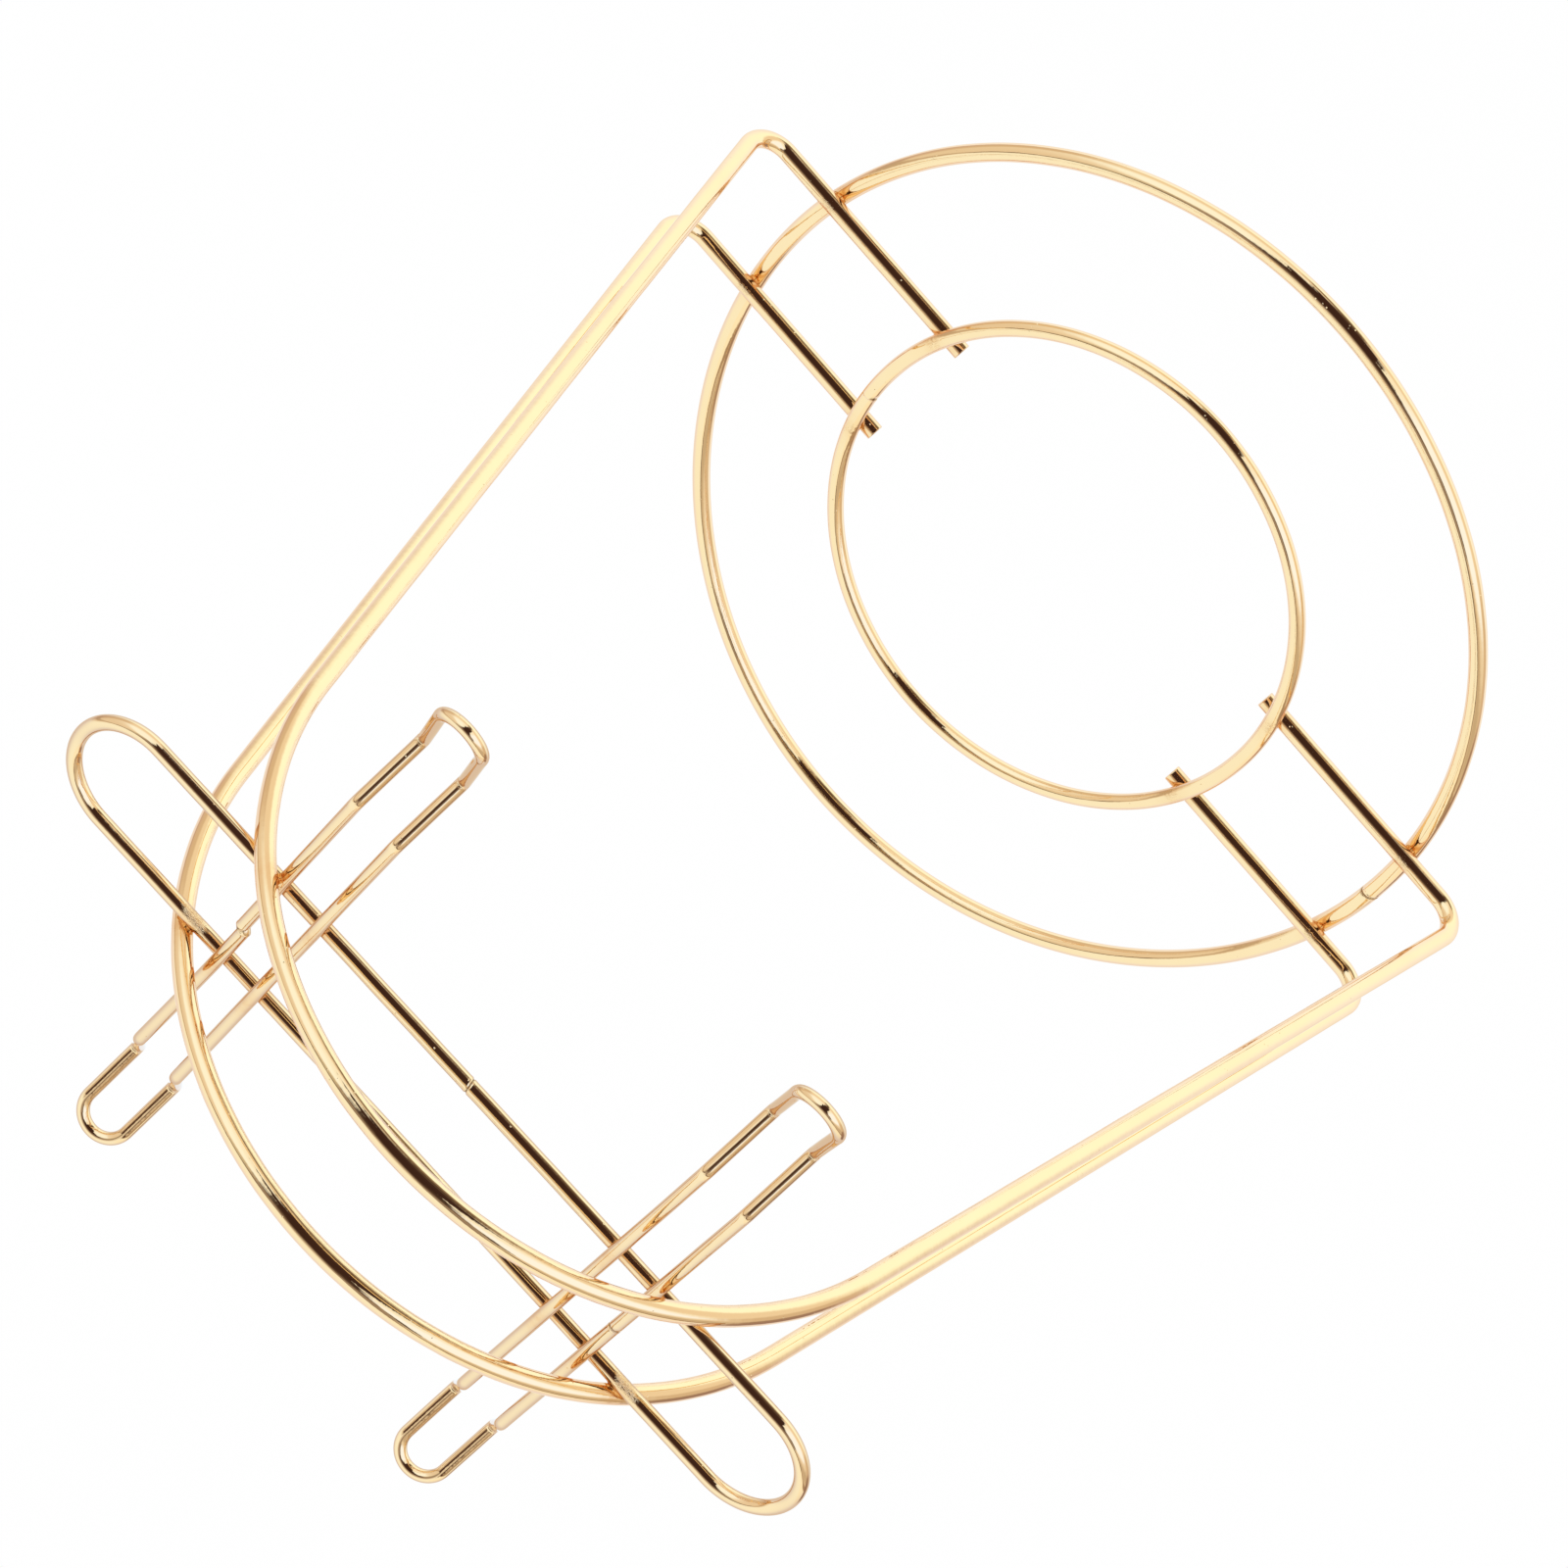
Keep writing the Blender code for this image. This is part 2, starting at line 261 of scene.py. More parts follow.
def bent(corners, radii):
    """A path through its first and last corners that rounds every corner between."""
    parts = [corners[0][None]]
    for i in range(1, len(corners) - 1):
        parts.append(bend(corners[i - 1], corners[i], corners[i + 1], radii[i - 1]))
    return np.vstack(parts + [corners[-1][None]])


def turned(points, degrees, axis):
    """Points turned about X or Z through the origin."""
    c, s = math.cos(math.radians(degrees)), math.sin(math.radians(degrees))
    m = {"x": [[1, 0, 0], [0, c, -s], [0, s, c]], "z": [[c, -s, 0], [s, c, 0], [0, 0, 1]]}[axis]
    return points @ np.array(m, float).T


def hoop_path(y, forward=0.0, drop=0.0):
    """Spoke, foot bend, leg, arch and back down, from the right spoke's tip to the left's."""
    lean = math.radians(LEG_LEAN)
    leg_x = FOOT_WIDTH / 2 - LEG_TOP * math.tan(lean)
    shoulder = (leg_x - SHOULDER_RADIUS * math.cos(lean), LEG_TOP - SHOULDER_RADIUS * math.sin(lean))
    rise = arc2(shoulder, SHOULDER_RADIUS, LEG_LEAN, SHOULDER_SWEEP)
    start = LEG_LEAN + SHOULDER_SWEEP
    crown = rise[-1, 0] / math.cos(math.radians(start))
    centre = (0.0, rise[-1, 1] - crown * math.sin(math.radians(start)))
    half = np.vstack([rise, arc2(centre, crown, start, 90.0 - start)[1:]])
    foot = np.array([FOOT_WIDTH / 2, y, 0.0])
    top = np.array([half[0, 0], y, half[0, 1]])
    right = bent([np.array([SPOKE_TIP, y, 0.0]), foot, top], [FOOT_BEND])
    right = np.vstack([right, np.stack([half[1:, 0], np.full(len(half) - 1, y), half[1:, 1]], 1)])
    left = right[-2::-1] * (-1, 1, 1)
    return twisted(resampled(np.vstack([right, left]), HOOP_POINT_STEP), forward, drop)


def twisted(path, forward, drop):
    """A hoop turned and shifted in proportion to height, in the row frame."""
    share = path[:, 2] / CUP_BAR_HEIGHT
    angle = math.radians(CAGE_TWIST) * share
    x = path[:, 0] * np.cos(angle) - path[:, 1] * np.sin(angle)
    y = path[:, 0] * np.sin(angle) + path[:, 1] * np.cos(angle)
    x += CAGE_SHIFT[0] * share + FOOT_SHIFT * (1.0 - share)
    y += (CAGE_SHIFT[1] - forward) * share
    return np.stack([x, y, path[:, 2] - drop * share], 1) + RACK_AT


def ring_path(centre, radius, z, oval=(0.0, 0.0), lobe=(0.0, 0.0), start=0.0):
    """A ring from its seam round and back; oval and lobe are (height, degrees round)."""
    turn = start + np.linspace(0.0, 360.0, RING_POINTS)
    r = radius + oval[0] * np.cos(np.radians(2 * (turn - oval[1])))
    r = r + lobe[0] * np.cos(np.radians(3 * (turn - lobe[1])))
    x = centre[0] + r * np.cos(np.radians(turn))
    y = centre[1] + r * np.sin(np.radians(turn))
    return np.stack([x, y, np.full_like(x, z)], 1) + RACK_AT


def in_cage(points):
    """From the cup bar's own frame to the row frame."""
    points = turned(turned(points, -CUP_BAR_TILT, "x"), CAGE_TWIST, "z")
    return points + (CAGE_SHIFT[0], CAGE_SHIFT[1], CUP_BAR_HEIGHT) + RACK_AT


def cup_bar_path():
    """The stadium, starting and ending at its butt seam on the front side."""
    radius = CUP_BAR_WIDTH / 2
    reach = CUP_BAR_LENGTH / 2 - radius
    right, left = arc2((reach, 0.0), radius, -90.0, 180.0), arc2((-reach, 0.0), radius, 90.0, 180.0)
    seam = [(CUP_BAR_SEAM_X, -radius)]
    flat = np.vstack([seam, right, left, seam])
    return in_cage(np.hstack([flat + (CUP_BAR_OFFSET, 0.0), np.zeros((len(flat), 1))]))


def hook_path(name):
    """A hairpin from its butt seam round and back to it."""
    half = HOOK_WIDTH / 2
    lip_way = unit(np.array([0.0, HOOK_LIP - HOOK_VEE, HOOK_LIP_RISE]))
    corners = [
        np.array([half, 0.0, 0.0]),
        np.array([half, HOOK_FLAT, 0.0]),
        np.array([half, HOOK_VEE, -HOOK_VEE_DROP]),
        np.array([half, HOOK_LIP, HOOK_LIP_RISE - HOOK_VEE_DROP]) - lip_way * half,
    ]
    right = bent(corners, [HOOK_KNEE_RADIUS, HOOK_VEE_RADIUS])[1:]
    tip = arc2((0.0, 0.0), half, 0.0, 180.0, pitch=6.0)[1:-1]
    lip = np.array([0.0, right[-1, 1], right[-1, 2]]) + tip[:, :1] * (1, 0, 0) + tip[:, 1:] * lip_way
    rear = np.vstack([right, lip, right[::-1] * (-1, 1, 1)])
    front = rear[::-1] * (1, -1, 1)
    side, at, step = HOOK_SEAMS[name]
    if side < 0:
        rear, front = rear[::-1], front[::-1]
    seam = [(side * half, at, 0.0)]
    loop = resampled(np.vstack([seam, rear, front, seam]), HOOK_POINT_STEP)
    # The wire beyond the seam was welded on with a sideways step that fades out in the vee
    faded = smooth(HOOK_STEP_HOLD, HOOK_VEE + HOOK_STEP_HOLD - at, distances(loop))
    loop[:, 0] += step * (1.0 - faded)
    return in_hook(name, loop)


def in_hook(name, points):
    """From a hook's own frame to the row frame."""
    place = HOOK_SIDE[name] * HOOK_SPACING / 2 + HOOK_OFFSET
    lift = CUP_BAR_WIRE / 2 + HOOK_WIRE / 2 + WELD_GAP
    return in_cage(points + (place, -HOOK_FORWARD[name], lift))


def resampled(path, step):
    """The same line with points no more than step apart; its own points are kept."""
    parts = []
    for one, two in zip(path[:-1], path[1:]):
        count = max(1, math.ceil(np.linalg.norm(two - one) / step - 1e-9))
        parts.append(one + (two - one) * (np.arange(count) / count)[:, None])
    return np.vstack(parts + [path[-1:]])


def distances(path):
    """How far along a path each of its points lies."""
    return np.r_[0.0, np.cumsum(np.linalg.norm(np.diff(path, axis=0), axis=1))]


def smooth(lo, hi, x):
    t = np.clip((x - lo) / (hi - lo), 0.0, 1.0)
    return t * t * (3 - 2 * t)


def hump(x, reach):
    """A bell curve, 1 at x = 0."""
    return np.exp(-((x / reach) ** 2))


# ================================================================= wires
Mark = namedtuple("Mark", "kind at way size")  # at: along the wire; way: the side it is on
SAUCER_SEAM_SIDE = unit(np.array([-0.85, -0.12, 0.25]))  # ground smooth but for a tick on its inner side
JIG_SIDE = unit(np.array([0.0, -0.68, 0.73]))


class Wire:
    """A centreline with a gauge, and the marks on its surface."""

    def __init__(self, node_name, slot, path, gauge, closed):
        self.node, self.slot, self.path, self.closed = node_name, slot, path, closed
        self.radius = gauge / 2 * ROUND
        self.at = distances(path)
        self.length = self.at[-1]
        self.marks = []

    def point(self, s):
        return np.stack([np.interp(s, self.at, self.path[:, i]) for i in range(3)], -1)

    def tangent(self, s, reach=0.6):
        return unit(self.point(min(s + reach, self.length)) - self.point(max(s - reach, 0.0)))

    def nearest(self, place):
        s = np.arange(0.0, self.length, SEARCH_STEP)
        return float(s[np.argmin(np.linalg.norm(self.point(s) - place, axis=1))])


def stations(wire):
    """Distances along a wire at which it gets a section: closer beside marks and in bends."""
    fine = [(mark.at, mark.size + MARK_MARGIN) for mark in wire.marks]
    fine += [(0.0, END_MARGIN), (wire.length, END_MARGIN)]
    middle = (wire.at[1:] + wire.at[:-1]) / 2
    way = np.diff(wire.path, axis=0)
    way /= np.linalg.norm(way, axis=1)[:, None]
    turn = np.r_[0.0, np.arccos(np.clip((way[1:] * way[:-1]).sum(1), -1, 1))]
    tight = middle[turn > math.radians(TIGHT_TURN)]
    out, s = [0.0], 0.0
    while s < wire.length - FINE_STEP:
        step = STEP
        if len(tight) and np.abs(tight - s).min() < BEND_MARGIN:
            step = BEND_STEP
        if any(abs(s - at) < half for at, half in fine):
            step = FINE_STEP
        s += step
        out.append(min(s, wire.length))
    out[-1] = wire.length
    return np.array(out)


def frames(points, closed):
    """Tangents and two cross directions carried along without twist."""
    way = np.gradient(points, axis=0)
    if closed:
        way[0] = way[-1] = unit(points[1] - points[-2])
    way /= np.linalg.norm(way, axis=1)[:, None]
    steep = abs(way[0, 2]) >= 0.9
    across = [unit(np.cross(way[0], (0.0, 1.0, 0.0) if steep else (0.0, 0.0, 1.0)))]
    for i in range(1, len(points)):
        across.append(unit(across[-1] - way[i] * (across[-1] @ way[i])))
    across = np.array(across)
    other = np.cross(way, across)
    if closed:  # share the mismatch at the seam out over the whole wire
        gap = math.atan2(float(across[-1] @ other[0]), float(across[-1] @ across[0]))
        at = distances(points)
        turn = (-gap * at / at[-1])[:, None]
        across, other = (across * np.cos(turn) + other * np.sin(turn),
                         other * np.cos(turn) - across * np.sin(turn))
    return way, across, other


def relief(wire, s, angle, direction, rng):
    """Radial height of the surface over the plain round wire, mm, and how dark it is: soot in the seams,
    painted shade in the nicks.
    """
    height, soot_and_shade = np.zeros((len(s), len(angle))), np.zeros((len(s), len(angle)))
    for period, size in WIRE_WAVES:
        phase, turn = rng.uniform(0, 2 * math.pi, 2)
        ripple = np.sin(2 * math.pi * s / period + phase)[:, None]
        height += size * ripple * np.cos(angle + turn)[None]
    for mark in wire.marks:
        away = s - mark.at
        facing = 1.0 if mark.way is None else np.clip((direction * mark.way).sum(2), 0.0, 1.0)
        if mark.kind == "seam":  # a butt joint: a thin slanting groove with a raised lip either side
            slant = away[:, None] - mark.size * np.cos(angle - SEAM_TURN)[None]
            shown = smooth(*SEAM_FACING, facing)
            height -= SEAM_DEPTH * shown * hump(slant, SEAM_REACH)
            height += LIP_HEIGHT * shown * hump(np.abs(slant) - LIP_AT, LIP_REACH)
            soot_and_shade = np.maximum(soot_and_shade, shown * hump(slant, SEAM_SOOT_REACH))
        elif mark.kind == "press":  # where the welding electrode bore: flattened, with scuffs
            patch = hump(away, mark.size)[:, None] * smooth(*PRESS_FACING, facing)
            scuff = PRESS_SCUFF * (mark.size / PRESS_SIZE["bar_welds"]) ** 2
            height -= PRESS_DEPTH * patch
            height += scuff * patch * scuffs(s, angle, rng)
        elif mark.kind == "nicks":  # two short ones inside a tight bend, darkened with painted shade
            for offset, depth in NICKS:
                nick = hump(away - offset, NICK_REACH)[:, None]
                height -= depth * nick * smooth(*NICK_FACING, facing)
                # Painted shade in the nick, carried along with the seam soot
                soot_and_shade = np.maximum(soot_and_shade, NICK_SHADE * nick * smooth(*NICK_SHADE_FACING, facing))
    return height, soot_and_shade


def scuffs(s, angle, rng):
    """Fine random waves, for scuffed patches."""
    total = np.zeros((len(s), len(angle)))
    for _ in range(SCUFF_WAVES):
        along, around = rng.uniform(*SCUFF_ALONG), rng.integers(*SCUFF_AROUND)
        phase = rng.uniform(0, 2 * math.pi)
        total += np.sin(along * s + phase)[:, None] * np.cos(around * angle + phase * 3)[None]
    return total / SCUFF_SCALE


def sheared_rim(tip, way, radius, direction):
    """Sections of a sheared end: a rounded rim and a slightly hollow face."""
    return np.stack([tip + (out - SHEAR_DEPTH) * way + radius[:, None] * share * direction
                     for out, share in SHEAR_RIM])


def tube_faces(rows, cols, closed):
    """Faces of a tube of rows sections, joined end to end or closed by flat ends."""
    i, j = np.meshgrid(np.arange(rows - 1), np.arange(cols), indexing="ij")
    k = (j + 1) % cols
    faces = np.stack([i * cols + j, i * cols + k, (i + 1) * cols + k, (i + 1) * cols + j], -1)
    faces = faces.reshape(-1, 4).tolist()
    last = (rows - 1) * cols
    if closed:
        return faces + [[last + a, last + (a + 1) % cols, (a + 1) % cols, a] for a in range(cols)]
    return faces + [list(range(cols))[::-1], list(range(last, rows * cols))]


def draw(wire, hot, rng):
    """The wire's mesh. hot holds the weld places, which warm the plating around them."""
    s = stations(wire)
    centre = wire.point(s)
    way, across, other = frames(centre, wire.closed)
    angle = 2 * math.pi * np.arange(SIDES) / SIDES
    direction = (np.cos(angle)[None, :, None] * across[:, None, :]
                 + np.sin(angle)[None, :, None] * other[:, None, :])
    height, soot_and_shade = relief(wire, s, angle, direction, rng)
    radius = wire.radius + height
    rings = centre[:, None] + radius[:, :, None] * direction
    if not wire.closed:
        first = sheared_rim(centre[0], -way[0], radius[0], direction[0])
        last = sheared_rim(centre[-1], way[-1], radius[-1], direction[-1])
        rings[0] += SHEAR_DEPTH * way[0]
        rings[-1] -= SHEAR_DEPTH * way[-1]
        rings = np.vstack([first[::-1], rings, last])
        clean = np.zeros((len(SHEAR_RIM), SIDES))
        soot_and_shade = np.vstack([clean, soot_and_shade, clean])
        s = np.r_[np.full(len(SHEAR_RIM), s[0]), s, np.full(len(SHEAR_RIM), s[-1])]
    verts = rings.reshape(-1, 3)
    along = np.stack([np.repeat(s, SIDES), np.tile(np.cos(angle) * wire.radius, len(rings)),
                      np.tile(np.sin(angle) * wire.radius, len(rings))], 1)
    faces = tube_faces(len(rings), SIDES, wire.closed)
    return mesh(wire.node + "_wire", verts, faces, along, warmth(verts, hot), worn(wire, verts), soot_and_shade.ravel())


def worn(wire, verts):
    """0 to 1 by how scuffed the surface is."""
    total = np.zeros(len(verts))
    for mark in wire.marks:
        if mark.kind in ("press", "scuff"):
            tangent, reach = wire.tangent(mark.at), verts - wire.point(mark.at)
            along = reach @ tangent
            aside = np.linalg.norm(reach - along[:, None] * tangent - wire.radius * mark.way, axis=1)
            total += np.exp(-((along / mark.size) ** 4)) * (1.0 - smooth(*WEAR_FADE, aside))
    return np.clip(total, 0.0, 1.0)


def warmth(verts, hot):
    """0 to 1 by how near a weld is."""
    near = np.full(len(verts), np.inf)
    for place in hot:
        near = np.minimum(near, np.linalg.norm(verts - place, axis=1))
    return hump(near, WARM_REACH)


def mesh(name, verts, faces, along, warm, wear, soot_and_shade):
    """A mesh object in metres with the four attributes the gold reads."""
    data = bpy.data.meshes.new(name)
    data.from_pydata((np.asarray(verts) * MM).tolist(), [], faces)
    place = data.attributes.new("along", "FLOAT_VECTOR", "POINT")
    place.data.foreach_set("vector", np.asarray(along, np.float32).ravel())
    for label, values in (("warm", warm), ("wear", wear), ("soot_and_shade", soot_and_shade)):
        amount = data.attributes.new(label, "FLOAT", "POINT")
        amount.data.foreach_set("value", np.asarray(values, np.float32))
    for face in data.polygons:
        face.use_smooth = len(face.vertices) <= 4
    data.validate()
    item = bpy.data.objects.new(name, data)
    bpy.context.scene.collection.objects.link(item)
    return item


# ================================================================= welds
def crossings(one, two):
    """Where two wires touch: (distance along one, along two), nearest first."""
    a, b = np.arange(0.0, one.length, SEARCH_REACHES[0]), np.arange(0.0, two.length, SEARCH_REACHES[0])
    pa, pb = one.point(a), two.point(b)
    gap = np.linalg.norm(pa[:, None] - pb[None], axis=2)
    touch = one.radius + two.radius
    found = []
    while gap.min() < touch + SEARCH_SLACK:
        i, j = np.unravel_index(gap.argmin(), gap.shape)
        sa, sb = a[i], b[j]
        for reach in SEARCH_REACHES:
            span = np.linspace(-reach, reach, SEARCH_PROBES)
            ta, tb = sa + span, sb + span
            d = np.linalg.norm(one.point(ta)[:, None] - two.point(tb)[None], axis=2)
            m, n = np.unravel_index(d.argmin(), d.shape)
            sa, sb = ta[m], tb[n]
        if d.min() < touch + WELD_SLACK:
            found.append((float(sa), float(sb)))
        near_a = np.linalg.norm(pa - pa[i], axis=1) < WELD_CLEARING
        near_b = np.linalg.norm(pb - pb[j], axis=1) < WELD_CLEARING
        gap[np.ix_(near_a, near_b)] = np.inf
    return found


def fillet(low, low_at, high, high_at, rng):
    """The weld between two crossing wires: a neck that fills the crevice round their contact."""
    p1, p2 = low.point(low_at), high.point(high_at)
    t1, t2 = low.tangent(low_at), high.tangent(high_at)
    rise = unit(p2 - p1)
    span = float(np.linalg.norm(p2 - p1))
    e1 = unit(t1 - rise * (t1 @ rise))
    e2 = np.cross(rise, e1)
    turns = 2 * math.pi * np.arange(FILLET_SIDES) / FILLET_SIDES
    ragged = 1.0 + sum(rng.uniform(*FILLET_RAGGED) * np.cos(k * turns + rng.uniform(0, FILLET_PHASE))
                       for k in FILLET_WAVES)
    rho = np.linspace(0.0, FILLET_LIMIT, FILLET_PROBES)
    rows = []
    for turn, rag in zip(turns, ragged):
        h = math.cos(turn) * e1 + math.sin(turn) * e2
        z1, z2 = surface_height(low, t1, h, rho), span - surface_height(high, t2, h, rho)
        k = min(int(np.searchsorted(z2 - z1, FILLET_GAP * rag)), len(rho) - 1)
        rows.append([p1 + q * h + z * rise for q, z in fillet_profile(rho[k], z1[k], z2[k])])
    return loft(np.array(rows))


def surface_height(wire, tangent, outward, reach):
    """Height of a wire's surface over its centreline at each reach outward from a crossing."""
    aside = reach * math.sqrt(max(0.0, 1 - float(outward @ tangent) ** 2))
    return np.sqrt(np.clip(wire.radius ** 2 - aside ** 2, 0, None))


def fillet_profile(r, low, high):
    """(radius, height) from inside the lower wire, up the neck, to inside the upper wire."""
    neck = (high - low) * FILLET_NECK
    ends = [(r * FILLET_CORE, FILLET_SINK), (r - FILLET_TUCK, FILLET_TUCK_SINK)]
    profile = [(q, low - sink) for q, sink in ends]
    profile += [(r + FILLET_SWELL - neck * math.sin(math.pi * t), low + (high - low) * t)
                for t in np.linspace(0, 1, FILLET_RUNGS)]
    return profile + [(q, high + sink) for q, sink in reversed(ends)]


def loft(grid):
    """A closed surface through profiles that stand round an axis."""
    n, m = grid.shape[:2]
    faces = [[i * m + j, ((i + 1) % n) * m + j, ((i + 1) % n) * m + j + 1, i * m + j + 1]
             for i in range(n) for j in range(m - 1)]
    faces += [[i * m for i in range(n)][::-1], [i * m + m - 1 for i in range(n)]]
    return grid.reshape(-1, 3), faces


def merged(parts):
    verts, faces, base = [], [], 0
    for v, f in parts:
        verts.append(v)
        faces += [[k + base for k in face] for face in f]
        base += len(v)
    return np.vstack(verts), faces


# ================================================================= materials
def node(tree, kind, links=(), **values):
    """A shader node with its inputs set; links is (input, output socket) pairs."""
    made = tree.nodes.new(kind)
    for key, value in values.items():
        if hasattr(made, key) and not key.startswith("in_"):
            setattr(made, key, value)
        else:
            name = key[3:].replace("_", " ")
            sock = made.inputs[int(name)] if name.isdigit() else made.inputs[name]
            sock.default_value = value
    for key, out in links:
        tree.links.new(out, made.inputs[key])
    return made


def ramp(tree, value, start, end, low, high, kind="LINEAR"):
    """value taken from start..end to low..high."""
    return node(tree, "ShaderNodeMapRange", [("Value", value)], interpolation_type=kind,
                in_1=start, in_2=end, in_3=low, in_4=high).outputs[0]


def product(tree, one, two):
    return node(tree, "ShaderNodeMath", [(0, one), (1, two)], operation="MULTIPLY").outputs[0]


def noise(tree, where, **values):
    return node(tree, "ShaderNodeTexNoise", [("Vector", where)], **values).outputs["Fac"]


def bumped(tree, height, strength, distance, under=None):
    """A bump of height over the normal under it."""
    links = [("Height", height)] + ([("Normal", under)] if under else [])
    return node(tree, "ShaderNodeBump", links, in_Strength=strength, in_Distance=distance).outputs[0]


def plating_colour(tree, where, tone, warm_tone, edge, heat):
    """Clouds in the plating, a warm tint beside welds, painted shade where the wire is seen edge on, soot in
    the seams and painted shade in the nicks.
    """
    cloud = noise(tree, where, in_Scale=90.0, in_Detail=4.0, in_Roughness=0.6)
    dark = (tone[0], tone[1] * 0.95, tone[2] * 0.9)
    base = node(tree, "ShaderNodeMix", [(0, cloud)], data_type="RGBA",
                in_6=(*tone, 1.0), in_7=(*dark, 1.0))
    warm = node(tree, "ShaderNodeMix", [(0, heat), (6, base.outputs[2])], data_type="RGBA",
                in_7=(*warm_tone, 1.0))
    # Painted shade: seen edge on, the colour is multiplied by a duller, pinker tint that stands in for the
    # darker reflections at the wires' edges
    facing = node(tree, "ShaderNodeLayerWeight", in_Blend=0.5).outputs["Facing"]
    shade = ramp(tree, facing, 0.30, 0.62, 0.0, 1.0, "SMOOTHSTEP")
    edge_shaded = node(tree, "ShaderNodeMix", [(0, shade), (6, warm.outputs[2])], data_type="RGBA",
                blend_type="MULTIPLY", in_7=(*edge, 1.0))
    # Soot darkens the seams, and painted shade darkens the nicks
    soot_and_shade = node(tree, "ShaderNodeAttribute", attribute_name="soot_and_shade")
    sooty_and_shaded = node(tree, "ShaderNodeMix", [(0, soot_and_shade.outputs["Fac"]), (6, edge_shaded.outputs[2])],
                 data_type="RGBA", in_7=SOOT_AND_SHADE)
    return sooty_and_shaded.outputs[2]


def plating_bumps(tree, where, along, drawn):
    """Draw lines along the wire, a faint orange peel, a few pits, and scratches where it is worn."""
    lines = noise(tree, drawn, in_Scale=1.0, in_Detail=3.0)
    peel = noise(tree, along, in_Scale=0.55, in_Detail=2.0)
    cells = node(tree, "ShaderNodeTexVoronoi", [("Vector", where)], in_Scale=700.0)
    pit = ramp(tree, cells.outputs["Distance"], 0.0, 0.12, -1.0, 0.0)
    some = ramp(tree, noise(tree, where, in_Scale=160.0), 0.55, 0.62, 0.0, 1.0)
    worn_here = node(tree, "ShaderNodeAttribute", attribute_name="wear").outputs["Fac"]
    spread = node(tree, "ShaderNodeMapping", [("Vector", along)], in_Scale=(1.1, 2.6, 2.6))
    scratch = noise(tree, spread.outputs["Vector"], in_Scale=1.0, in_Detail=3.0, in_Roughness=0.62,
                    in_Distortion=1.6)
    bump = bumped(tree, lines, 0.35, 0.00001)
    bump = bumped(tree, peel, 0.35, 0.00005, bump)
    bump = bumped(tree, product(tree, pit, some), 0.8, 0.00012, bump)
    return bumped(tree, product(tree, scratch, worn_here), 0.75, 0.00022, bump)


def gold(name, tone, warm_tone, roughness, rim, edge):
    """Polished gold plating over drawn steel wire."""
    material = bpy.data.materials.new(name)
    material.use_nodes = True
    tree = material.node_tree
    tree.nodes.clear()
    along = node(tree, "ShaderNodeAttribute", attribute_name="along").outputs["Vector"]
    where = node(tree, "ShaderNodeTexCoord").outputs["Object"]
    drawn = node(tree, "ShaderNodeMapping", [("Vector", along)], in_Scale=(0.05, 5.0, 5.0)).outputs["Vector"]

    warm = node(tree, "ShaderNodeAttribute", attribute_name="warm").outputs["Fac"]
    heat = product(tree, warm, noise(tree, where, in_Scale=900.0, in_Detail=3.0))
    haze = noise(tree, drawn, in_Scale=0.6, in_Detail=4.0)
    gloss = ramp(tree, haze, 0.3, 0.75, roughness * 0.7, roughness * 1.6)
    gloss = node(tree, "ShaderNodeMath", [(0, heat), (2, gloss)], operation="MULTIPLY_ADD", in_1=0.22)
    shader = node(tree, "ShaderNodeBsdfPrincipled", [
        ("Base Color", plating_colour(tree, where, tone, warm_tone, edge, heat)),
        ("Roughness", gloss.outputs[0]),
        ("Normal", plating_bumps(tree, where, along, drawn)),
    ], in_Metallic=1.0, in_Specular_Tint=(*rim, 1.0))
    node(tree, "ShaderNodeOutputMaterial", [("Surface", shader.outputs[0])])
    material.diffuse_color = (*tone, 1.0)
    return material


# ================================================================= studio
def directions(tree):
    """Azimuth and elevation, in degrees, of where a ray goes."""
    way = node(tree, "ShaderNodeTexCoord")
    axes = node(tree, "ShaderNodeSeparateXYZ", [(0, way.outputs["Generated"])])
    back = node(tree, "ShaderNodeMath", [(0, axes.outputs["Y"])], operation="MULTIPLY", in_1=-1.0)
    turn = node(tree, "ShaderNodeMath", [(0, axes.outputs["X"]), (1, back.outputs[0])], operation="ARCTAN2")
    lift = node(tree, "ShaderNodeMath", [(0, axes.outputs["Z"])], operation="ARCSINE")
    return [node(tree, "ShaderNodeMath", [(0, radians.outputs[0])], operation="DEGREES").outputs[0]
            for radians in (turn, lift)]


def band(tree, value, lo, hi, soft):
    """1 between lo and hi, falling off over soft on both sides."""
    return product(tree, ramp(tree, value, lo - soft, lo + soft, 0.0, 1.0, "SMOOTHSTEP"),
                   ramp(tree, value, hi + soft, hi - soft, 0.0, 1.0, "SMOOTHSTEP"))


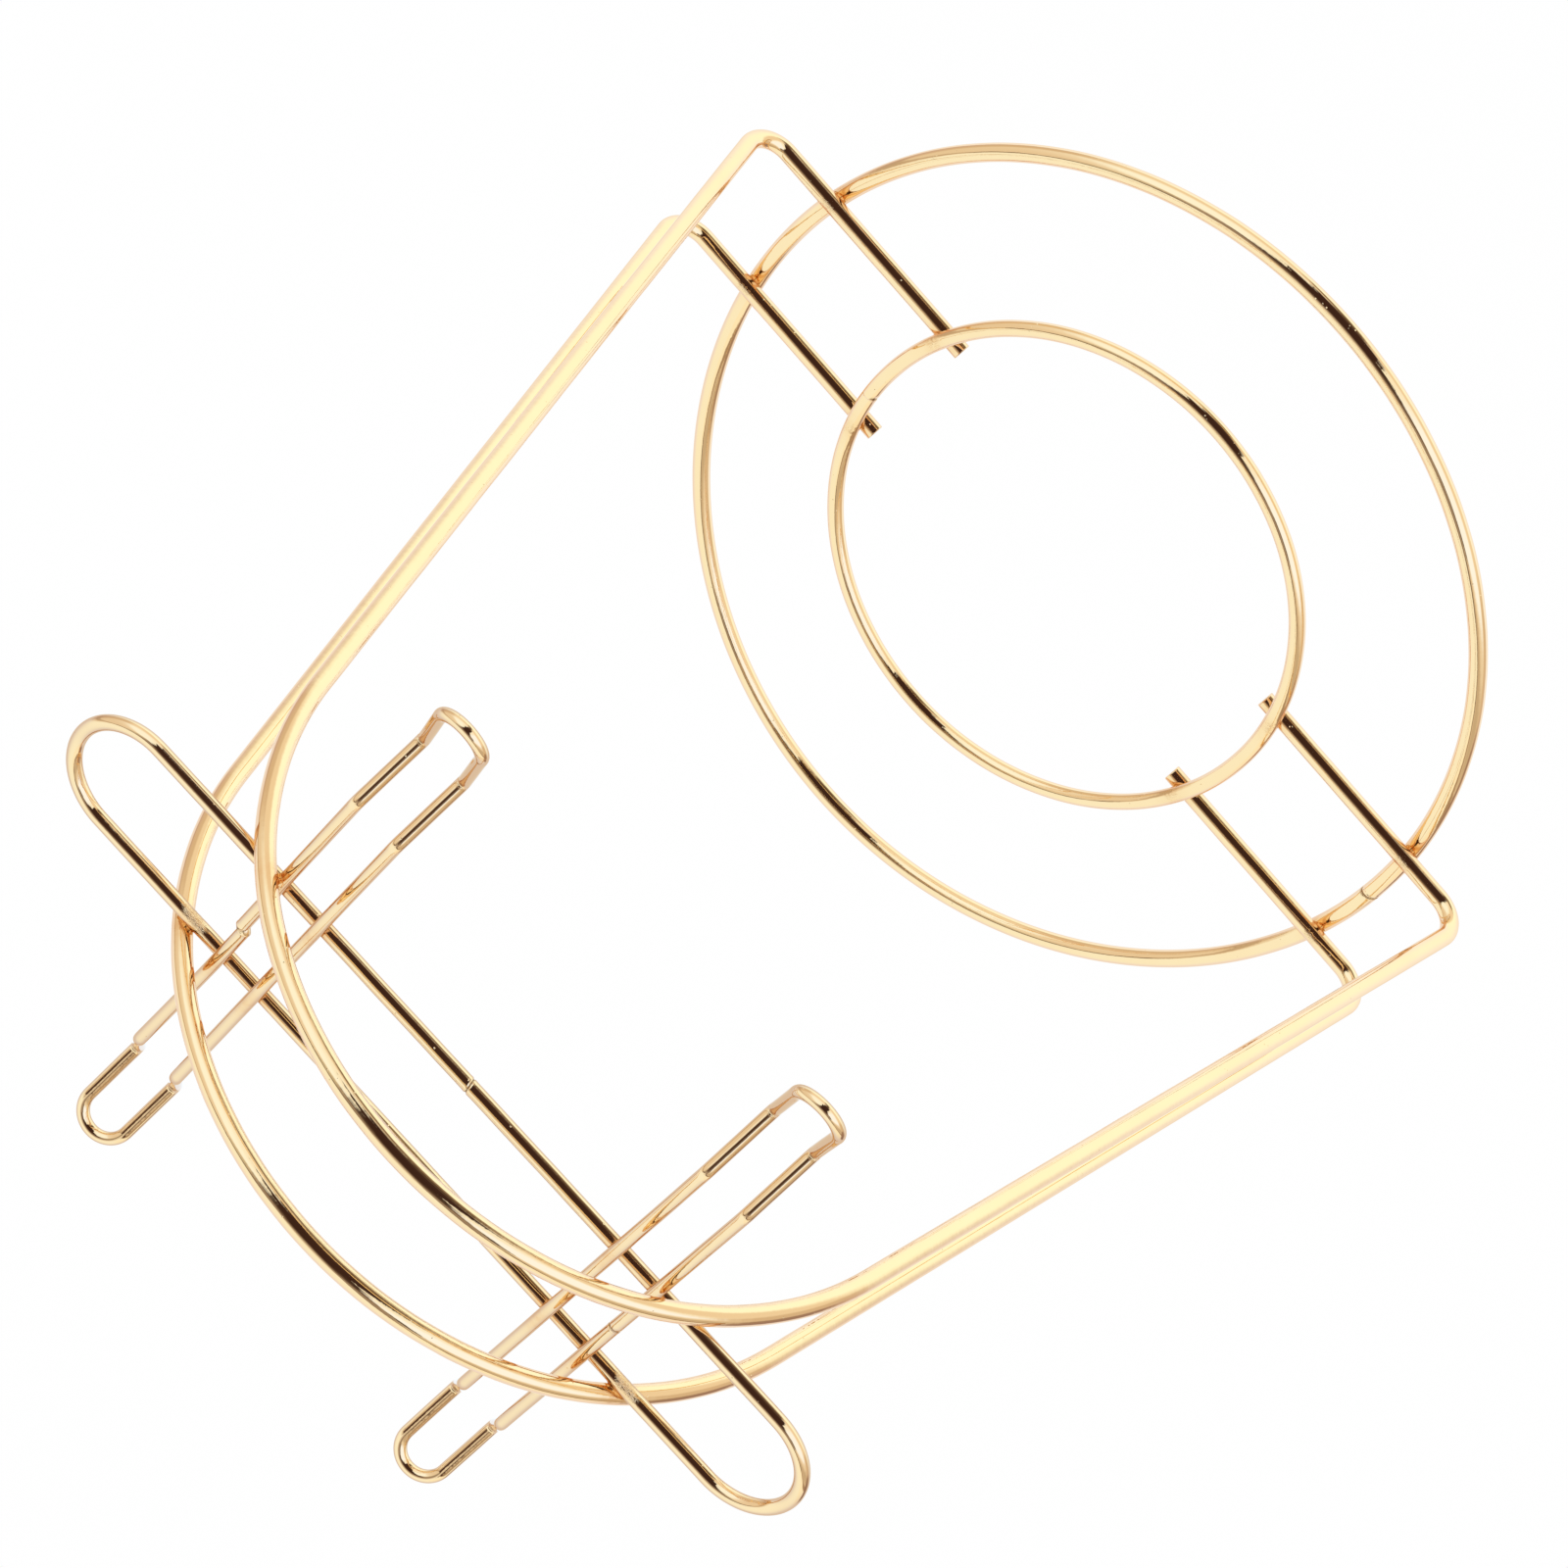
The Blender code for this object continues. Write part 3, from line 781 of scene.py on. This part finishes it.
def world():
    """A pale studio: a soft light either side of the camera, white cloth behind, dark between."""
    made = bpy.data.worlds.new("studio")
    bpy.context.scene.world = made
    made.use_nodes = True
    made.cycles.sampling_method = "NONE"  # nothing but mirrors to light
    tree = made.node_tree
    tree.nodes.clear()
    azimuth, height = directions(tree)
    apart = node(tree, "ShaderNodeMath", [(0, azimuth)], operation="ABSOLUTE").outputs[0]
    wall = node(tree, "ShaderNodeRGB")
    wall.outputs[0].default_value = (*SIDE_WALL, 1.0)
    colour = wall.outputs[0]
    for patches, across in ((ROOM, apart), (FURNITURE, azimuth)):
        for lo, hi, soft, low, high, fade, tone in patches:
            mask = product(tree, band(tree, across, lo, hi, soft), band(tree, height, low, high, fade))
            colour = node(tree, "ShaderNodeMix", [(0, mask), (6, colour)], data_type="RGBA",
                          in_7=(*tone, 1.0)).outputs[2]
    mirrored = node(tree, "ShaderNodeBackground", [("Color", colour)], in_Strength=1.0)
    seen = node(tree, "ShaderNodeBackground", in_Color=(*BACKDROP, 1.0), in_Strength=1.0)
    path = node(tree, "ShaderNodeLightPath")
    both = node(tree, "ShaderNodeMixShader", [
        (0, path.outputs["Is Camera Ray"]), (1, mirrored.outputs[0]), (2, seen.outputs[0])])
    node(tree, "ShaderNodeOutputWorld", [("Surface", both.outputs[0])])


def floor():
    """A plain white floor that the wires don't mirror: they mirror the studio's own floor tones."""
    r, z = FLOOR_REACH, FLOOR_Z
    data = bpy.data.meshes.new("floor")
    data.from_pydata([(-r, -r, z), (r, -r, z), (r, r, z), (-r, r, z)], [], [[0, 1, 2, 3]])
    item = bpy.data.objects.new("floor", data)
    bpy.context.scene.collection.objects.link(item)
    material = bpy.data.materials.new("floor_white")
    material.use_nodes = True
    tree = material.node_tree
    tree.nodes.clear()
    grain = node(tree, "ShaderNodeTexNoise", in_Scale=40.0, in_Detail=3.0)
    tone = node(tree, "ShaderNodeMix", [(0, grain.outputs["Fac"])], data_type="RGBA",
                in_6=(*FLOOR_TONE, 1.0), in_7=(*[c * FLOOR_GRAIN for c in FLOOR_TONE], 1.0))
    glow = node(tree, "ShaderNodeEmission", [("Color", tone.outputs[2])])
    node(tree, "ShaderNodeOutputMaterial", [("Surface", glow.outputs[0])])
    data.materials.append(material)
    item.visible_glossy = False


def camera():
    """A long lens in front of the rack and above it, rolled so that the rack leans over."""
    a, e = math.radians(CAMERA_AZIMUTH), math.radians(CAMERA_ELEVATION)
    back = Vector((math.sin(a) * math.cos(e), -math.cos(a) * math.cos(e), math.sin(e)))
    data = bpy.data.cameras.new("camera")
    data.lens, data.sensor_width = CAMERA_LENS, CAMERA_SENSOR
    data.clip_start, data.clip_end = CAMERA_CLIP
    item = bpy.data.objects.new("camera", data)
    bpy.context.scene.collection.objects.link(item)
    item.rotation_mode = "QUATERNION"
    item.location = Vector(CAMERA_AIM) + back * CAMERA_DISTANCE
    roll = Quaternion((0.0, 0.0, 1.0), math.radians(CAMERA_ROLL))
    item.rotation_quaternion = (-back).to_track_quat("-Z", "Y") @ roll
    bpy.context.scene.camera = item


# ================================================================= the rack
def make_wires():
    ring_drop = HOOP_WIRE / 2 + BASE_RING_WIRE / 2 + WELD_GAP
    ring_lift = HOOP_WIRE / 2 + SAUCER_RING_WIRE / 2 + WELD_GAP
    front = hoop_path(-HOOP_SPACING / 2, FRONT_ARCH_FORWARD, FRONT_ARCH_DROP)
    base = ring_path(BASE_RING_CENTRE, BASE_RING_RADIUS, -ring_drop, (BASE_RING_OVAL, BASE_RING_OVAL_AT),
                     (BASE_RING_LOBE, BASE_RING_LOBE_AT), start=BASE_SEAM_AT)
    saucer = ring_path(SAUCER_RING_CENTRE, SAUCER_RING_RADIUS, ring_lift, start=SAUCER_SEAM_AT)
    wires = [
        Wire("front_hoop", "hoop_gold", front, HOOP_WIRE, False),
        Wire("rear_hoop", "hoop_gold", hoop_path(HOOP_SPACING / 2), HOOP_WIRE, False),
        Wire("base_ring", "hoop_gold", base, BASE_RING_WIRE, True),
        Wire("saucer_ring", "hoop_gold", saucer, SAUCER_RING_WIRE, True),
        Wire("cup_bar", "fine_gold", cup_bar_path(), CUP_BAR_WIRE, True),
    ]
    wires += [Wire(name, "fine_gold", hook_path(name), HOOK_WIRE, True) for name in HOOK_SIDE]
    return {wire.node: wire for wire in wires}


def mark_seams(wires):
    """A butt seam where each closed wire starts and ends."""
    for wire in wires.values():
        if wire.closed:
            slant = BASE_SEAM_SLANT if wire.node == "base_ring" else SEAM_SLANT
            side = SAUCER_SEAM_SIDE if wire.node == "saucer_ring" else None
            wire.marks += [Mark("seam", 0.0, side, slant), Mark("seam", wire.length, side, slant)]


def mark_vees(wires):
    """Nicks of the tool that formed the vees of the hooks."""
    for name in HOOK_SIDE:
        for across in (-HOOK_WIDTH / 2, HOOK_WIDTH / 2):
            for along in (-HOOK_VEE, HOOK_VEE):
                vee = in_hook(name, np.array([[across, along, -HOOK_VEE_DROP]]))[0]
                at = wires[name].nearest(vee)
                wires[name].marks.append(Mark("nicks", at, np.array([0.0, 0.0, 1.0]), NICK_MARK))


def weld_group(low, high):
    if "ring" in low + high:
        return "foot_welds"
    return "hook_welds" if "hook" in high else "bar_welds"


def weld(wires, rng):
    """Fillets by group, the places that got hot, and the marks that welding left on the wires."""
    fillets = {"foot_welds": [], "bar_welds": [], "hook_welds": []}
    hot = []
    for low, high in WELDED:
        group = weld_group(low, high)
        for low_at, high_at in crossings(wires[low], wires[high]):
            one, two = wires[low].point(low_at), wires[high].point(high_at)
            hot.append((one + two) / 2)
            fillets[group].append(fillet(wires[low], low_at, wires[high], high_at, rng))
            if group == "bar_welds":  # scuffs where the jig held the wire
                rubbed, at = high, high_at + JIG_SCUFF_AWAY
                if low == "front_hoop":
                    rubbed, at = low, low_at - JIG_SCUFF_AWAY
                wires[rubbed].marks.append(Mark("scuff", at, JIG_SIDE, JIG_SCUFF_SIZE))
            if group in PRESS_SIZE:
                out, size = unit(one - two), PRESS_SIZE[group]
                wires[low].marks.append(Mark("press", low_at, out, size))
                wires[high].marks.append(Mark("press", high_at, -out, size))
    return fillets, hot


def rack():
    """Every wire in place of its CAD node, and the weld fillets in three groups."""
    rng = np.random.default_rng(SEED)
    wires = make_wires()
    mark_seams(wires)
    mark_vees(wires)
    fillets, hot = weld(wires, rng)
    paint = {name: gold(name, *finish) for name, finish in GOLDS.items()}
    for wire in wires.values():
        item = draw(wire, hot, rng)
        item.data.materials.append(paint[wire.slot])
        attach(item, "root")
        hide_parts(wire.node)
    for name, parts in fillets.items():
        verts, faces = merged(parts)
        plain = np.zeros(len(verts))
        item = mesh(name, verts, faces, verts, plain + 1.0, plain, plain)
        item.data.materials.append(paint["weld_gold"])
        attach(item, "root")


rack()
floor()
world()
camera()
bpy.context.scene.view_settings.view_transform = "Standard"
bpy.context.scene.view_settings.look = "None"
